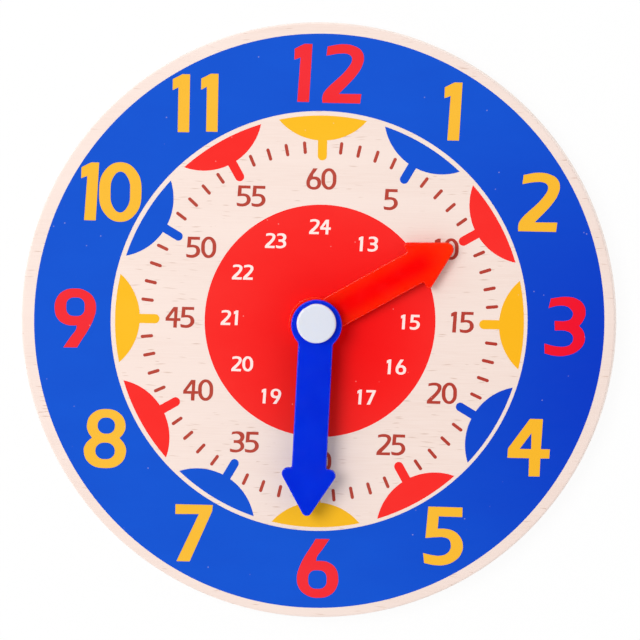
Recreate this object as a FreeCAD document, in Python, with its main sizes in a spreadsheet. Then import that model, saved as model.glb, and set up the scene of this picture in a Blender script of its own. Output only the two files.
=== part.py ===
import FreeCAD, Part
import os
import Sketcher

# The clock lies on its back: dial up, twelve o'clock towards +Y, millimetres.
# The origin is the centre of the back face, which the clock rests on.
# Both hands are at rest where the photograph shows them.

doc = FreeCAD.newDocument("TeachingClock")

# Driving sizes

SIZES = (
    ("board_diameter", 140.0, "across the round board"),
    ("face_veneer", 0.6, "beech sheet on the front and on the back"),
    ("crossband", 1.2, "sheet under each face, grain across"),
    ("core", 1.4, "middle sheet"),
    ("rim_bevel", 0.5, "sanded bevel of both rim edges, within the face sheets"),
    ("barrel_diameter", 5.0, "pivot that both hands turn on"),
    ("barrel_bore", 3.1, "bore that takes the pin"),
    ("barrel_floor", 1.1, "plastic left below the bore, above the flange face"),
    ("flange_diameter", 10.4, "rear head of the rivet"),
    ("flange_thickness", 1.2, "rear head of the rivet"),
    ("flange_bevel", 0.3, "bevel of the rear head"),
    ("flange_sink", 0.2, "how far the rear head lies below the back face"),
    ("slot_width", 0.7, "cuts that let the barrel spring open"),
    ("slot_depth", 5.6, "length of those cuts from the open end"),
    ("mouth_chamfer", 0.3, "lead-in of the barrel bore"),
    ("pin_reach", 6.4, "length of the pin below the cap"),
    ("pin_chamfer", 0.45, "lead-in at the end of the pin"),
    ("barb_step", 0.25, "how far the barb stands out of the pin"),
    ("barb_height", 1.1, "length of the barb along the pin"),
    ("barb_depth", 3.6, "from the cap down to the shoulder of the barb"),
    ("cap_diameter", 9.25, "white front head of the rivet"),
    ("cap_thickness", 1.6, "white front head of the rivet"),
    ("cap_round", 0.6, "rounding of the upper edge of the cap"),
    ("cap_foot_bevel", 0.15, "bevel of the lower edge of the cap"),
    ("push_clearance", 0.05, "radial, parts pushed together for good"),
    ("running_clearance", 0.08, "radial, hands and washers on the barrel"),
    ("recess_clearance", 0.3, "radial, rear head in its counterbore"),
    ("end_play", 0.05, "free height at each running face"),
    ("washer_diameter", 9.6, "friction washers and the bosses on them"),
    ("washer_thickness", 0.4, "each friction washer"),
    ("boss_height", 0.5, "boss that lifts each blade off the washer"),
    ("blade_thickness", 1.8, "flat part of both hands"),
    ("blade_width", 8.1, "shaft of both hands"),
    ("blade_bevel", 0.35, "bevel along the upper edge of both hands"),
    ("hub_fillet", 1.0, "inner corner between hub and shaft"),
    ("neck_fillet", 0.5, "inner corner between shaft and arrow head"),
    ("hour_hub", 12.4, "hub of the hour hand"),
    ("hour_barbs", 27.2, "pivot to the back of the arrow head"),
    ("hour_point", 37.4, "pivot to the sharp point before rounding"),
    ("hour_head_width", 13.3, "across the arrow head before rounding"),
    ("hour_barb_round", 0.7, "outer corners of the arrow head"),
    ("hour_point_round", 1.4, "point of the arrow head"),
    ("hour_hand_angle", 59.8, "degrees clockwise from twelve"),
    ("minute_hub", 12.1, "hub of the minute hand"),
    ("minute_barbs", 34.0, "pivot to the back of the arrow head"),
    ("minute_point", 46.2, "pivot to the sharp point before rounding"),
    ("minute_head_width", 13.5, "across the arrow head before rounding"),
    ("minute_barb_round", 0.9, "outer corners of the arrow head"),
    ("minute_point_round", 1.0, "point of the arrow head"),
    ("minute_hand_angle", 182.0, "degrees clockwise from twelve"),
    ("overrun", 1.0, "how far a cutting shape runs past what it cuts"),
)

sheet = doc.addObject("Spreadsheet::Sheet", "Sizes")
for row, (alias, number, note) in enumerate(SIZES, start=1):
    sheet.set(f"A{row}", note)
    sheet.set(f"B{row}", str(number))
    sheet.setAlias(f"B{row}", alias)
doc.recompute()


def sized(text):
    """The words of a size text, each turned into its cell of the sheet."""
    words = text.split()
    names = {alias for alias, number, note in SIZES}
    return " ".join(f"Sizes.{word}" if word in names else word for word in words)


def amount(text):
    """The number that a size text comes to."""
    result = sheet.evalExpression(sized(text))
    return float(getattr(result, "Value", result))


def bind(thing, path, text):
    """Ties one property of a thing to the sheet."""
    thing.setExpression(path, sized(text))


# Sizes and heights worked out from the driving ones

BOARD_TOP = "( 2 * face_veneer + 2 * crossband + core )"
SEAT_HEIGHT = "( flange_sink + flange_thickness )"
COUNTERBORE_RADIUS = "( flange_diameter / 2 + recess_clearance )"
BARREL_RADIUS = "( barrel_diameter / 2 )"
BOARD_BORE_RADIUS = "( barrel_diameter / 2 + push_clearance )"
RUNNING_RADIUS = "( barrel_diameter / 2 + running_clearance )"
PIN_RADIUS = "( barrel_bore / 2 - push_clearance )"
HAND_HEIGHT = "( boss_height + blade_thickness )"
HOUR_LIFT = f"( {BOARD_TOP} + washer_thickness + end_play )"
UPPER_WASHER_LIFT = f"( {HOUR_LIFT} + {HAND_HEIGHT} + end_play )"
MINUTE_LIFT = f"( {UPPER_WASHER_LIFT} + washer_thickness + end_play )"
CAP_LIFT = f"( {MINUTE_LIFT} + {HAND_HEIGHT} + end_play )"


# Drawing helpers

MATCHING_DIGITS = 5


def plane_of(body, role):
    """The origin plane of a body that has this role."""
    return next(part for part in body.Origin.OriginFeatures if part.Role == role)


def new_sketch(body, name, role, lift="0"):
    """An empty sketch on an origin plane of its body, raised by the lift."""
    sketch = body.newObject("Sketcher::SketchObject", name)
    sketch.AttachmentSupport = [(plane_of(body, role), "")]
    sketch.MapMode = "FlatFace"
    if lift != "0":
        bind(sketch, "AttachmentOffset.Base.z", lift)
    return sketch


def draw_circle(sketch, radius):
    """A circle round the origin of the sketch."""
    centre = FreeCAD.Vector(0, 0, 0)
    normal = FreeCAD.Vector(0, 0, 1)
    sketch.addGeometry(Part.Circle(centre, normal, amount(radius)), False)
    sketch.addConstraint(Sketcher.Constraint("Coincident", 0, 3, -1, 1))
    place = sketch.addConstraint(Sketcher.Constraint("Radius", 0, amount(radius)))
    bind(sketch, f"Constraints[{place}]", radius)
    return sketch


def draw_outline(sketch, corners):
    """A closed outline of straight runs, each corner tied to its two sizes."""
    points = [FreeCAD.Vector(amount(across), amount(along), 0) for across, along in corners]
    count = len(points)
    for start in range(count):
        run = Part.LineSegment(points[start], points[(start + 1) % count])
        sketch.addGeometry(run, False)
    for start in range(count):
        follow = (start + 1) % count
        sketch.addConstraint(Sketcher.Constraint("Coincident", start, 2, follow, 1))
    for start, (across, along) in enumerate(corners):
        for kind, zero_axis, text in (("DistanceX", -2, across), ("DistanceY", -1, along)):
            if amount(text) == 0:
                sketch.addConstraint(Sketcher.Constraint("PointOnObject", start, 1, zero_axis))
                continue
            tie = Sketcher.Constraint(kind, -1, 1, start, 1, amount(text))
            place = sketch.addConstraint(tie)
            bind(sketch, f"Constraints[{place}]", text)
    return sketch


def pad(body, name, sketch, length):
    """A flat slab raised from a sketch."""
    slab = body.newObject("PartDesign::Pad", name)
    slab.Profile = sketch
    bind(slab, "Length", length)
    return slab


def turn(body, kind, name, corners):
    """A full turn of an outline about the upright axis: Revolution adds, Groove cuts."""
    sketch = draw_outline(new_sketch(body, name + "_profile", "XZ_Plane"), corners)
    turned = body.newObject(f"PartDesign::{kind}", name)
    turned.Profile = sketch
    turned.ReferenceAxis = (sketch, ["V_Axis"])
    turned.Angle = 360
    return turned


def bore_through(body, name, radius):
    """A round bore through a whole body, from its foot up."""
    sketch = draw_circle(new_sketch(body, name + "_circle", "XY_Plane"), radius)
    bore = body.newObject("PartDesign::Pocket", name)
    bore.Profile = sketch
    bore.Type = "ThroughAll"
    bore.Reversed = True
    return bore


def edge_names(shape, wanted):
    """The names of the edges that a test picks out."""
    return [f"Edge{place}" for place, edge in enumerate(shape.Edges, start=1) if wanted(edge)]


def dress(body, kind, name, wanted, size_name):
    """Rounds or bevels the picked edges of the body as it stands."""
    doc.recompute()
    base = body.Tip
    picked = edge_names(base.Shape, wanted)
    if not picked:
        raise ValueError(f"{body.Label}: {name} found no edge")
    feature = body.newObject(f"PartDesign::{kind}", name)
    feature.Base = (base, picked)
    bind(feature, "Radius" if kind == "Fillet" else "Size", size_name)
    doc.recompute()
    return feature


def close(first, second):
    """True where two lengths agree to the last digit that matters."""
    return round(first - second, MATCHING_DIGITS) == 0


def is_flat_at(edge, height):
    """True for an edge that lies all the way at this height."""
    return close(edge.BoundBox.ZMin, height) and close(edge.BoundBox.ZMax, height)


def is_upright_at(edge, across, along):
    """True for an upright edge at this place, or at its mirror place."""
    box = edge.BoundBox
    thin = close(box.XMin, box.XMax) and close(box.YMin, box.YMax)
    return thin and close(abs(box.XMin), across) and close(box.YMin, along)


def round_edge(radius, height=None):
    """A test for a round edge of this radius, at this height where one is given."""
    def wanted(edge):
        is_round = isinstance(edge.Curve, Part.Circle) and close(edge.Curve.Radius, amount(radius))
        return is_round and (height is None or is_flat_at(edge, amount(height)))
    return wanted


def new_body(name):
    """A body whose label names its file."""
    body = doc.addObject("PartDesign::Body", name)
    body.Label = name
    return body


# Board: a disc turned with its stepped bore, then parted into the five sheets of the plywood

blank = new_body("board_blank")
BLANK_PROFILE = (
    (BOARD_BORE_RADIUS, SEAT_HEIGHT),
    (COUNTERBORE_RADIUS, SEAT_HEIGHT),
    (COUNTERBORE_RADIUS, "0"),
    ("board_diameter / 2", "0"),
    ("board_diameter / 2", BOARD_TOP),
    (BOARD_BORE_RADIUS, BOARD_TOP),
)
turn(blank, "Revolution", "disc", BLANK_PROFILE)
dress(blank, "Chamfer", "rim_bevels", round_edge("board_diameter / 2"), "rim_bevel")

PLIES = (
    ("rear_face_veneer", "face_veneer"),
    ("rear_crossband", "crossband"),
    ("core_ply", "core"),
    ("front_crossband", "crossband"),
    ("front_face_veneer", "face_veneer"),
)


def part_ply(name, thickness, below):
    """The layer of the blank between two glue lines."""
    slab = doc.addObject("Part::Cylinder", name + "_layer")
    bind(slab, "Radius", "board_diameter / 2 + overrun")
    bind(slab, "Height", thickness)
    bind(slab, "Placement.Base.z", below)
    ply = doc.addObject("Part::Common", name)
    ply.Label = name
    ply.Base = blank
    ply.Tool = slab
    return ply


plies = []
glue_line = "0"
for ply_name, ply_thickness in PLIES:
    plies.append(part_ply(ply_name, ply_thickness, glue_line))
    glue_line = f"{glue_line} + {ply_thickness}"


# Rivet barrel: rear head in the counterbore, hollow barrel up through board and hands

barrel = new_body("rivet_barrel")
BARREL_PROFILE = (
    ("0", "flange_sink"),
    ("flange_diameter / 2", "flange_sink"),
    ("flange_diameter / 2", SEAT_HEIGHT),
    (BARREL_RADIUS, SEAT_HEIGHT),
    (BARREL_RADIUS, CAP_LIFT),
    ("barrel_bore / 2", CAP_LIFT),
    ("barrel_bore / 2", f"{SEAT_HEIGHT} + barrel_floor"),
    ("0", f"{SEAT_HEIGHT} + barrel_floor"),
)
turn(barrel, "Revolution", "head_and_barrel", BARREL_PROFILE)

BARB_TOP = f"( {CAP_LIFT} - barb_depth )"
LATCH_RADIUS = f"( {PIN_RADIUS} + barb_step + push_clearance )"
LATCH_PROFILE = (
    ("0", f"{BARB_TOP} + push_clearance"),
    (LATCH_RADIUS, f"{BARB_TOP} + push_clearance"),
    ("barrel_bore / 2", f"{BARB_TOP} - barb_height - push_clearance"),
    ("0", f"{BARB_TOP} - barb_height - push_clearance"),
)
turn(barrel, "Groove", "latch_groove", LATCH_PROFILE)
dress(barrel, "Chamfer", "bore_mouth", round_edge("barrel_bore / 2", CAP_LIFT), "mouth_chamfer")
dress(barrel, "Chamfer", "rear_bevel", round_edge("flange_diameter / 2", "flange_sink"), "flange_bevel")

SLOT_OUTLINE = (
    ("- slot_width / 2", f"- {BARREL_RADIUS} - overrun"),
    ("slot_width / 2", f"- {BARREL_RADIUS} - overrun"),
    ("slot_width / 2", f"{BARREL_RADIUS} + overrun"),
    ("- slot_width / 2", f"{BARREL_RADIUS} + overrun"),
)
slot = barrel.newObject("PartDesign::Pocket", "spring_slot")
slot.Profile = draw_outline(new_sketch(barrel, "slot_outline", "XY_Plane", CAP_LIFT), SLOT_OUTLINE)
bind(slot, "Length", "slot_depth")
slots = barrel.newObject("PartDesign::PolarPattern", "spring_slots")
slots.Originals = [slot]
slots.Axis = (slot.Profile[0], ["N_Axis"])
slots.Angle = 180
slots.Occurrences = 2
barrel.Tip = slots
doc.recompute()


# Rivet cap: flat white head on a pin whose barb latches in the barrel

cap = new_body("rivet_cap")
CAP_PROFILE = (
    ("0", "- pin_reach"),
    (f"{PIN_RADIUS} - pin_chamfer", "- pin_reach"),
    (PIN_RADIUS, "- pin_reach + pin_chamfer"),
    (PIN_RADIUS, "- barb_depth - barb_height"),
    (f"{PIN_RADIUS} + barb_step", "- barb_depth"),
    (PIN_RADIUS, "- barb_depth"),
    (PIN_RADIUS, "0"),
    ("cap_diameter / 2", "0"),
    ("cap_diameter / 2", "cap_thickness"),
    ("0", "cap_thickness"),
)
turn(cap, "Revolution", "head_and_pin", CAP_PROFILE)
dress(cap, "Fillet", "upper_rounding", round_edge("cap_diameter / 2", "cap_thickness"), "cap_round")
dress(cap, "Chamfer", "foot_bevel", round_edge("cap_diameter / 2", "0"), "cap_foot_bevel")
bind(cap, "Placement.Base.z", CAP_LIFT)


# Friction washers: one under each hand

def make_washer(name, lift):
    """A flat ring on the barrel."""
    ring = doc.addObject("Part::Cylinder", name + "_disc")
    bind(ring, "Radius", "washer_diameter / 2")
    bind(ring, "Height", "washer_thickness")
    bore = doc.addObject("Part::Cylinder", name + "_bore")
    bind(bore, "Radius", RUNNING_RADIUS)
    bind(bore, "Height", "washer_thickness + 2 * overrun")
    bind(bore, "Placement.Base.z", "- overrun")
    washer = doc.addObject("Part::Cut", name)
    washer.Label = name
    washer.Base = ring
    washer.Tool = bore
    bind(washer, "Placement.Base.z", lift)
    return washer


dial_washer = make_washer("dial_washer", BOARD_TOP)
hand_washer = make_washer("hand_washer", UPPER_WASHER_LIFT)


# Hands: boss, hub and arrow blade, rounded corner by corner, then bored for the barrel

def make_hand(name, prefix, lift):
    """One moulded hand, drawn towards twelve and turned clockwise to its reading."""
    hand = new_body(name)
    hub_radius = f"( {prefix}_hub / 2 )"
    barbs = f"{prefix}_barbs"
    head = f"{prefix}_head_width / 2"
    boss = draw_circle(new_sketch(hand, prefix + "_boss_circle", "XY_Plane"), "washer_diameter / 2")
    pad(hand, prefix + "_boss", boss, "boss_height")
    hub = draw_circle(new_sketch(hand, prefix + "_hub_circle", "XY_Plane", "boss_height"), hub_radius)
    pad(hand, prefix + "_hub_disc", hub, "blade_thickness")
    arrow = (
        ("- blade_width / 2", "0"),
        ("blade_width / 2", "0"),
        ("blade_width / 2", barbs),
        (head, barbs),
        ("0", f"{prefix}_point"),
        ("- " + head, barbs),
        ("- blade_width / 2", barbs),
    )
    blade = draw_outline(new_sketch(hand, prefix + "_arrow", "XY_Plane", "boss_height"), arrow)
    pad(hand, prefix + "_blade", blade, "blade_thickness")

    half_width = amount("blade_width / 2")
    meeting = (amount(hub_radius) ** 2 - half_width ** 2) ** 0.5
    corners = (
        ("hub_corners", half_width, meeting, "hub_fillet"),
        ("neck_corners", half_width, amount(barbs), "neck_fillet"),
        ("barb_corners", amount(head), amount(barbs), f"{prefix}_barb_round"),
        ("point", 0, amount(f"{prefix}_point"), f"{prefix}_point_round"),
    )
    for corner, across, along, radius in corners:
        def wanted(edge, across=across, along=along):
            return is_upright_at(edge, across, along)
        dress(hand, "Fillet", f"{prefix}_{corner}", wanted, radius)

    def is_upper_edge(edge):
        return is_flat_at(edge, amount(HAND_HEIGHT))

    dress(hand, "Chamfer", prefix + "_bevel", is_upper_edge, "blade_bevel")
    bore_through(hand, prefix + "_bore", RUNNING_RADIUS)
    bind(hand, "Placement.Base.z", lift)
    hand.Placement.Rotation = FreeCAD.Rotation(FreeCAD.Vector(0, 0, 1), 0)
    bind(hand, "Placement.Rotation.Angle", f"- {prefix}_hand_angle * 1deg")
    return hand


hour_hand = make_hand("hour_hand", "hour", HOUR_LIFT)
minute_hand = make_hand("minute_hand", "minute", MINUTE_LIFT)

# Checks and files

NODES = (*plies, barrel, dial_washer, hour_hand, hand_washer, minute_hand, cap)
doc.recompute()

for thing in doc.Objects:
    if "Invalid" in thing.State or "Error" in thing.State:
        raise RuntimeError(f"{thing.Label} failed: {thing.State}")
for node in NODES:
    if node.Shape.isNull() or not node.Shape.isValid() or len(node.Shape.Solids) != 1:
        raise RuntimeError(f"{node.Label} is not one valid solid")

os.makedirs("parts", exist_ok=True)
for node in NODES:
    node.Shape.exportStep(os.path.join("parts", node.Label + ".step"))
    box = node.Shape.BoundBox
    spans = f"{box.XLength:7.2f} x {box.YLength:7.2f} x {box.ZLength:6.2f}"
    print(f"{node.Label:20s} {spans}  from z {box.ZMin:6.2f}  volume {node.Shape.Volume:9.2f}")
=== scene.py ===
# %% [markdown]
# Teaching clock
#
# The object is a small learning clock: a round board of beech plywood with a printed dial, a red
# hour hand, a blue minute hand and one white snap rivet that holds them. It lies on its back, with
# the dial up and twelve o'clock towards +Y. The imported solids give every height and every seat, so
# this script reads its places from them and adds what solids can't show: grain, ink, soft edges and
# the shine of moulded plastic.

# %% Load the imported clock
import math
import bmesh
import bpy
from mathutils import Matrix, Vector
from mathutils.geometry import tessellate_polygon


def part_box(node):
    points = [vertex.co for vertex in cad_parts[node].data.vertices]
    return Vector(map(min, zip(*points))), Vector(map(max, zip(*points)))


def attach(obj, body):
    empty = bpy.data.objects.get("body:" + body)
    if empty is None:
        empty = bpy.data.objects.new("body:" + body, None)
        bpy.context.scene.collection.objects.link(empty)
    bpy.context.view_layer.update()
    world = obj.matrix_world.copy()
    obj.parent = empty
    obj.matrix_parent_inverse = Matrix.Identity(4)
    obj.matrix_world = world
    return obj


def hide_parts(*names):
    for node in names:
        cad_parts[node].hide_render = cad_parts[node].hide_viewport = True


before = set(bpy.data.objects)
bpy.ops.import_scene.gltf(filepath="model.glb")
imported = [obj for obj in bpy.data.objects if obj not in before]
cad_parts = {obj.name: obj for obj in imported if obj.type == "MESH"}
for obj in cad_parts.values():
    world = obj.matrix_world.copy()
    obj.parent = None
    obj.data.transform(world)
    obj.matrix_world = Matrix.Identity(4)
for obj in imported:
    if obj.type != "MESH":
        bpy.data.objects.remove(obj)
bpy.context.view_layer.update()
MM = 0.001

# %% [markdown]
# Heights come from the solids
#
# The board is glued up from five sheets, and the hands and washers are stacked on it. Their heights
# could be typed in again, but then two files would hold the same facts. A node's box gives its
# lowest and highest corner, so each height is read from the box of the piece that makes it.

# %% Read the stack of heights
def floor_of(node):
    """The lowest height of a node, in millimetres."""
    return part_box(node)[0].z / MM


def top_of(node):
    """The highest height of a node, in millimetres."""
    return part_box(node)[1].z / MM


def radius_of(node):
    """The radius of a round node, in millimetres."""
    low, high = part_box(node)
    return min(-low.x, -low.y, high.x, high.y) / MM


BOARD_RADIUS = radius_of("front_face_veneer")
BOARD_TOP = top_of("front_face_veneer")
WASHER_RADIUS = radius_of("dial_washer")
CAP_RADIUS = radius_of("rivet_cap")
for node in ("front_face_veneer", "dial_washer", "hour_hand", "hand_washer", "minute_hand"):
    print(f"{node:18s} from {floor_of(node):6.2f} to {top_of(node):6.2f} mm")

# %% [markdown]
# Colours as they look
#
# A colour is easiest to judge the way a screen shows it, from 0 to 255. The shader works with
# amounts of light instead, so each colour passes once through the screen's own curve. With the
# lamps at a plain level, a surface then comes out near the numbers written here.

# %% Turn a screen colour into amounts of light
def seen(red, green, blue):
    """A screen colour as the shader wants it."""
    def light(level):
        share = level / 255
        return share / 12.92 if share <= 0.04045 else ((share + 0.055) / 1.055) ** 2.4
    return (light(red), light(green), light(blue), 1.0)


print("mid grey gives", round(seen(128, 128, 128)[0], 3), "of the light")

# %% [markdown]
# One line for each shader node
#
# A material is a small network of nodes. Made by hand in the editor, it can't be read in a script,
# and made call by call it takes many lines. The helper below adds one node, sets it up and joins it
# to what feeds it, so that a finish reads from top to bottom like a recipe.

# %% A helper that adds one node
def put(tree, kind, inputs=None, **settings):
    """Adds a shader node. An input is a plain value or the output of another node."""
    node = tree.nodes.new("ShaderNode" + kind)
    for name, value in settings.items():
        setattr(node, name, value)
    for name, value in (inputs or {}).items():
        if isinstance(value, bpy.types.NodeSocket):
            tree.links.new(value, node.inputs[name])
        else:
            node.inputs[name].default_value = value
    return node


def start_finish(name):
    """An empty finish: its material, its node tree and its main shader."""
    material = bpy.data.materials.new(name)
    material.use_nodes = True
    tree = material.node_tree
    return material, tree, tree.nodes["Principled BSDF"]


def spread(tree, across, along, through):
    """A place on the piece, counted in features of these sizes in millimetres."""
    place = put(tree, "TexCoord").outputs["Object"]
    scale = (1 / (MM * across), 1 / (MM * along), 1 / (MM * through))
    return put(tree, "Mapping", {"Vector": place, "Scale": scale}).outputs["Vector"]


def clouds(tree, size, low=0.0, high=1.0, detail=3.0):
    """Soft random patches of a size in millimetres, from low to high."""
    noise = put(tree, "TexNoise", {"Vector": spread(tree, *size), "Scale": 1.0, "Detail": detail})
    return put(tree, "MapRange", {
        "Value": noise.outputs["Fac"], "From Min": 0.25, "From Max": 0.75,
        "To Min": low, "To Max": high}).outputs["Result"]


def ramp(tree, value, low, high, top=1.0):
    """0 below the low value, the top above the high one, and a soft climb between."""
    return put(tree, "MapRange", {
        "Value": value, "From Min": low, "From Max": high, "To Max": top},
        interpolation_type="SMOOTHSTEP").outputs["Result"]


def blend_colours(tree, share, first, second):
    """The first colour where the share is 0, the second where it is 1."""
    mix = put(tree, "Mix", data_type="RGBA")
    for place, value in ((0, share), (6, first), (7, second)):
        if isinstance(value, bpy.types.NodeSocket):
            tree.links.new(value, mix.inputs[place])
        else:
            mix.inputs[place].default_value = value
    return mix.outputs[2]


def relief(tree, height, depth, below=None):
    """A bump of this depth in millimetres, laid over an earlier one where it is given."""
    inputs = {"Height": height, "Distance": depth * MM, "Strength": 1.0}
    if below is not None:
        inputs["Normal"] = below
    return put(tree, "Bump", inputs).outputs["Normal"]


print("helpers ready:", put.__name__, clouds.__name__, blend_colours.__name__, relief.__name__)

# %% [markdown]
# Beech
#
# Beech is a pale, pinkish wood. Three things make it beech and not just a cream surface: fine fibre
# lines, slow bands of tone, and small brown flecks, one to three millimetres long, that all lie
# along the grain. A photo wrapped over the board would show them from above only. Patterns made in
# three dimensions run through the sheet instead, so the same finish shows long fibres on the face
# and short ends of fibres on the cut rim. Where the surface turns to the side, a painted highlight
# makes the rim paler. The sheets of plywood cross each other, so the finish is told which way its
# grain runs.

# %% The beech finish
def along_grain(grain_axis, length, width):
    """Feature sizes with the long way along the grain, which runs along X or along Y."""
    return (length, width, width) if grain_axis == "X" else (width, length, width)


FIBRE = (7.0, 0.22)
BAND = (60.0, 7.0)
FLECK_ROOM = (3.4, 0.5)
FLECK_ROW = (400.0, 0.7)
FLECK_WANDER = 3.0
FLECK_GROUP = (16.0, 5.0)
FLECK_SHARE = 0.45
FLECK_CORE = 0.1
FLECK_LEAST = 0.2
FLECK_VARIES = 0.22
FLECK_STRENGTH = 0.6
BEECH_SHINE_ROOM = (8.0, 0.5)
BEECH_ROUGHNESS = (0.5, 0.62)
BEECH_GLOSS = 0.2
FIBRE_DEPTH = 0.01
# Painted highlight on the rim: a paler colour, laid on where the surface turns to the side.
RIM_STARTS = 0.95
RIM_ENDS = 0.3
RIM_HIGHLIGHT_SHARE = 0.6
RIM_HIGHLIGHT = seen(253, 241, 236)


def flecks(tree, grain_axis):
    """Thin spindles along the grain, in groups, each row shifted: 1 inside a spindle, 0 outside."""
    row = spread(tree, *along_grain(grain_axis, *FLECK_ROW))
    wander = put(tree, "TexNoise", {"Vector": row, "Scale": 1.0, "Detail": 0.0}).outputs["Color"]
    along_only = (FLECK_WANDER, 0, 0) if grain_axis == "X" else (0, FLECK_WANDER, 0)
    moved = put(tree, "VectorMath", {
        0: wander, 1: along_only, 2: spread(tree, *along_grain(grain_axis, *FLECK_ROOM))},
        operation="MULTIPLY_ADD").outputs["Vector"]
    cells = put(tree, "TexVoronoi", {"Vector": moved, "Scale": 1.0})
    draw = put(tree, "SeparateColor", {"Color": cells.outputs["Color"]}).outputs
    reach = put(tree, "Math", {
        0: draw["Green"], 1: FLECK_VARIES, 2: FLECK_LEAST}, operation="MULTIPLY_ADD")
    spindle = put(tree, "MapRange", {
        "Value": cells.outputs["Distance"], "From Min": FLECK_CORE, "From Max": reach.outputs["Value"],
        "To Min": 1.0, "To Max": 0.0}).outputs["Result"]
    groups = clouds(tree, along_grain(grain_axis, *FLECK_GROUP), 0.0, FLECK_SHARE, detail=1.0)
    chosen = put(tree, "Math", {0: draw["Red"], 1: groups}, operation="LESS_THAN").outputs["Value"]
    return put(tree, "Math", {0: spindle, 1: chosen}, operation="MULTIPLY").outputs["Value"]


def beech(name, grain_axis, pale, warm, fleck):
    """Sanded beech: fibres, bands and flecks, and a painted highlight where the surface turns to the side.
    """
    material, tree, shader = start_finish(name)
    fibres = clouds(tree, along_grain(grain_axis, *FIBRE), detail=4.0)
    bands = clouds(tree, along_grain(grain_axis, *BAND), detail=3.0)
    both = put(tree, "Math", {0: fibres, 1: bands}, operation="MULTIPLY")
    wood = blend_colours(tree, both.outputs["Value"], pale, warm)
    marks = put(tree, "Math", {0: flecks(tree, grain_axis), 1: FLECK_STRENGTH}, operation="MULTIPLY")
    wood = blend_colours(tree, marks.outputs["Value"], wood, fleck)
    facing_up = put(tree, "SeparateXYZ", {"Vector": put(tree, "TexCoord").outputs["Normal"]}).outputs["Z"]
    # Painted highlight: the rim gets paler as its surface turns to the side.
    painted_rim_light = ramp(tree, facing_up, RIM_STARTS, RIM_ENDS, RIM_HIGHLIGHT_SHARE)
    tree.links.new(blend_colours(tree, painted_rim_light, wood, RIM_HIGHLIGHT), shader.inputs["Base Color"])
    shine = clouds(tree, along_grain(grain_axis, *BEECH_SHINE_ROOM), *BEECH_ROUGHNESS)
    tree.links.new(shine, shader.inputs["Roughness"])
    tree.links.new(relief(tree, fibres, FIBRE_DEPTH), shader.inputs["Normal"])
    shader.inputs["Specular IOR Level"].default_value = BEECH_GLOSS
    return material


FACE_BEECH = beech("beech_face", "X", seen(241, 222, 213), seen(234, 211, 200), seen(196, 160, 140))
CROSS_BEECH = beech("beech_crossband", "Y", seen(247, 228, 211), seen(236, 211, 190), seen(190, 152, 124))
CORE_BEECH = beech("beech_core", "X", seen(250, 234, 221), seen(243, 223, 207), seen(198, 160, 134))
print("three beech finishes, grain of the crossband turned a quarter")

# %% [markdown]
# The plywood board
#
# The board is five glued sheets. Its rim was sanded, which leaves a soft round edge at the front and
# at the back, while each glue line stays as a thin dark join. Every sheet is round, so each one is
# turned like work on a lathe: a short profile of radius and height, swept once round the axis. The
# rounding is one formula over the height, so it carries on from one sheet into the next. Where a
# profile ends on the axis, many points fall together. They are welded into one, which leaves a clean
# closed mesh.

# %% Turn a profile round the axis
def shown_object(name, mesh, body, finish, node=None):
    """Puts a mesh in the scene, on its body, in its finish and in place of its node."""
    mesh.materials.clear()
    mesh.materials.append(finish)
    piece = bpy.data.objects.new(name, mesh)
    bpy.context.scene.collection.objects.link(piece)
    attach(piece, body)
    if node:
        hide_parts(node)
    return piece


WELD = 0.0001


def weld(mesh):
    """Joins points that fall together, drops loose edges and turns every face outward."""
    work = bmesh.new()
    work.from_mesh(mesh)
    bmesh.ops.remove_doubles(work, verts=work.verts, dist=WELD * MM)
    loose = [edge for edge in work.edges if not edge.link_faces]
    bmesh.ops.delete(work, geom=loose, context="EDGES")
    bmesh.ops.recalc_face_normals(work, faces=work.faces)
    work.to_mesh(mesh)
    work.free()


def smooth(mesh, sharpest=40.0):
    """Smooth shading, except over edges sharper than this many degrees."""
    mesh.polygons.foreach_set("use_smooth", [True] * len(mesh.polygons))
    mesh.set_sharp_from_angle(angle=math.radians(sharpest))


def turned(name, profile, steps=256):
    """A closed profile of (radius, height) in millimetres, swept round the axis."""
    points = []
    faces = []
    count = len(profile)
    for step in range(steps):
        angle = 2 * math.pi * step / steps
        for radius, height in profile:
            points.append((radius * MM * math.cos(angle), radius * MM * math.sin(angle), height * MM))
    for step in range(steps):
        here = step * count
        there = (step + 1) % steps * count
        for place in range(count):
            after = (place + 1) % count
            faces.append((here + place, there + place, there + after, here + after))
    mesh = bpy.data.meshes.new(name)
    mesh.from_pydata(points, [], faces)
    weld(mesh)
    smooth(mesh)
    return mesh


# %% Shape the rim and glue up the board
RIM_ROUND = 0.6
GLUE_GROOVE = 0.035
RIM_STEPS = 7
SEAT_RADIUS = 5.5
SEAT_HEIGHT = 1.4
SHAFT_RADIUS = 2.55


def rim_radius(height):
    """The radius of the sanded rim at this height."""
    into_round = max(0.0, RIM_ROUND - min(height, BOARD_TOP - height))
    return BOARD_RADIUS - RIM_ROUND + math.sqrt(max(0.0, RIM_ROUND ** 2 - into_round ** 2))


def sheet_profile(low, high):
    """The profile of one sheet, from its bore out to the rim and back."""
    bore = [(SHAFT_RADIUS, high), (SHAFT_RADIUS, max(low, SEAT_HEIGHT))]
    if low < SEAT_HEIGHT:
        bore = [(SEAT_RADIUS, min(high, SEAT_HEIGHT)), (SEAT_RADIUS, low)]
        if high > SEAT_HEIGHT:
            bore = [(SHAFT_RADIUS, high), (SHAFT_RADIUS, SEAT_HEIGHT), *bore]
    rim = []
    for step in range(RIM_STEPS + 1):
        height = low + (high - low) * step / RIM_STEPS
        at_glue_line = step in (0, RIM_STEPS) and 0 < height < BOARD_TOP
        rim.append((rim_radius(height) - (GLUE_GROOVE if at_glue_line else 0), height))
    return [*bore, *rim]


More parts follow.
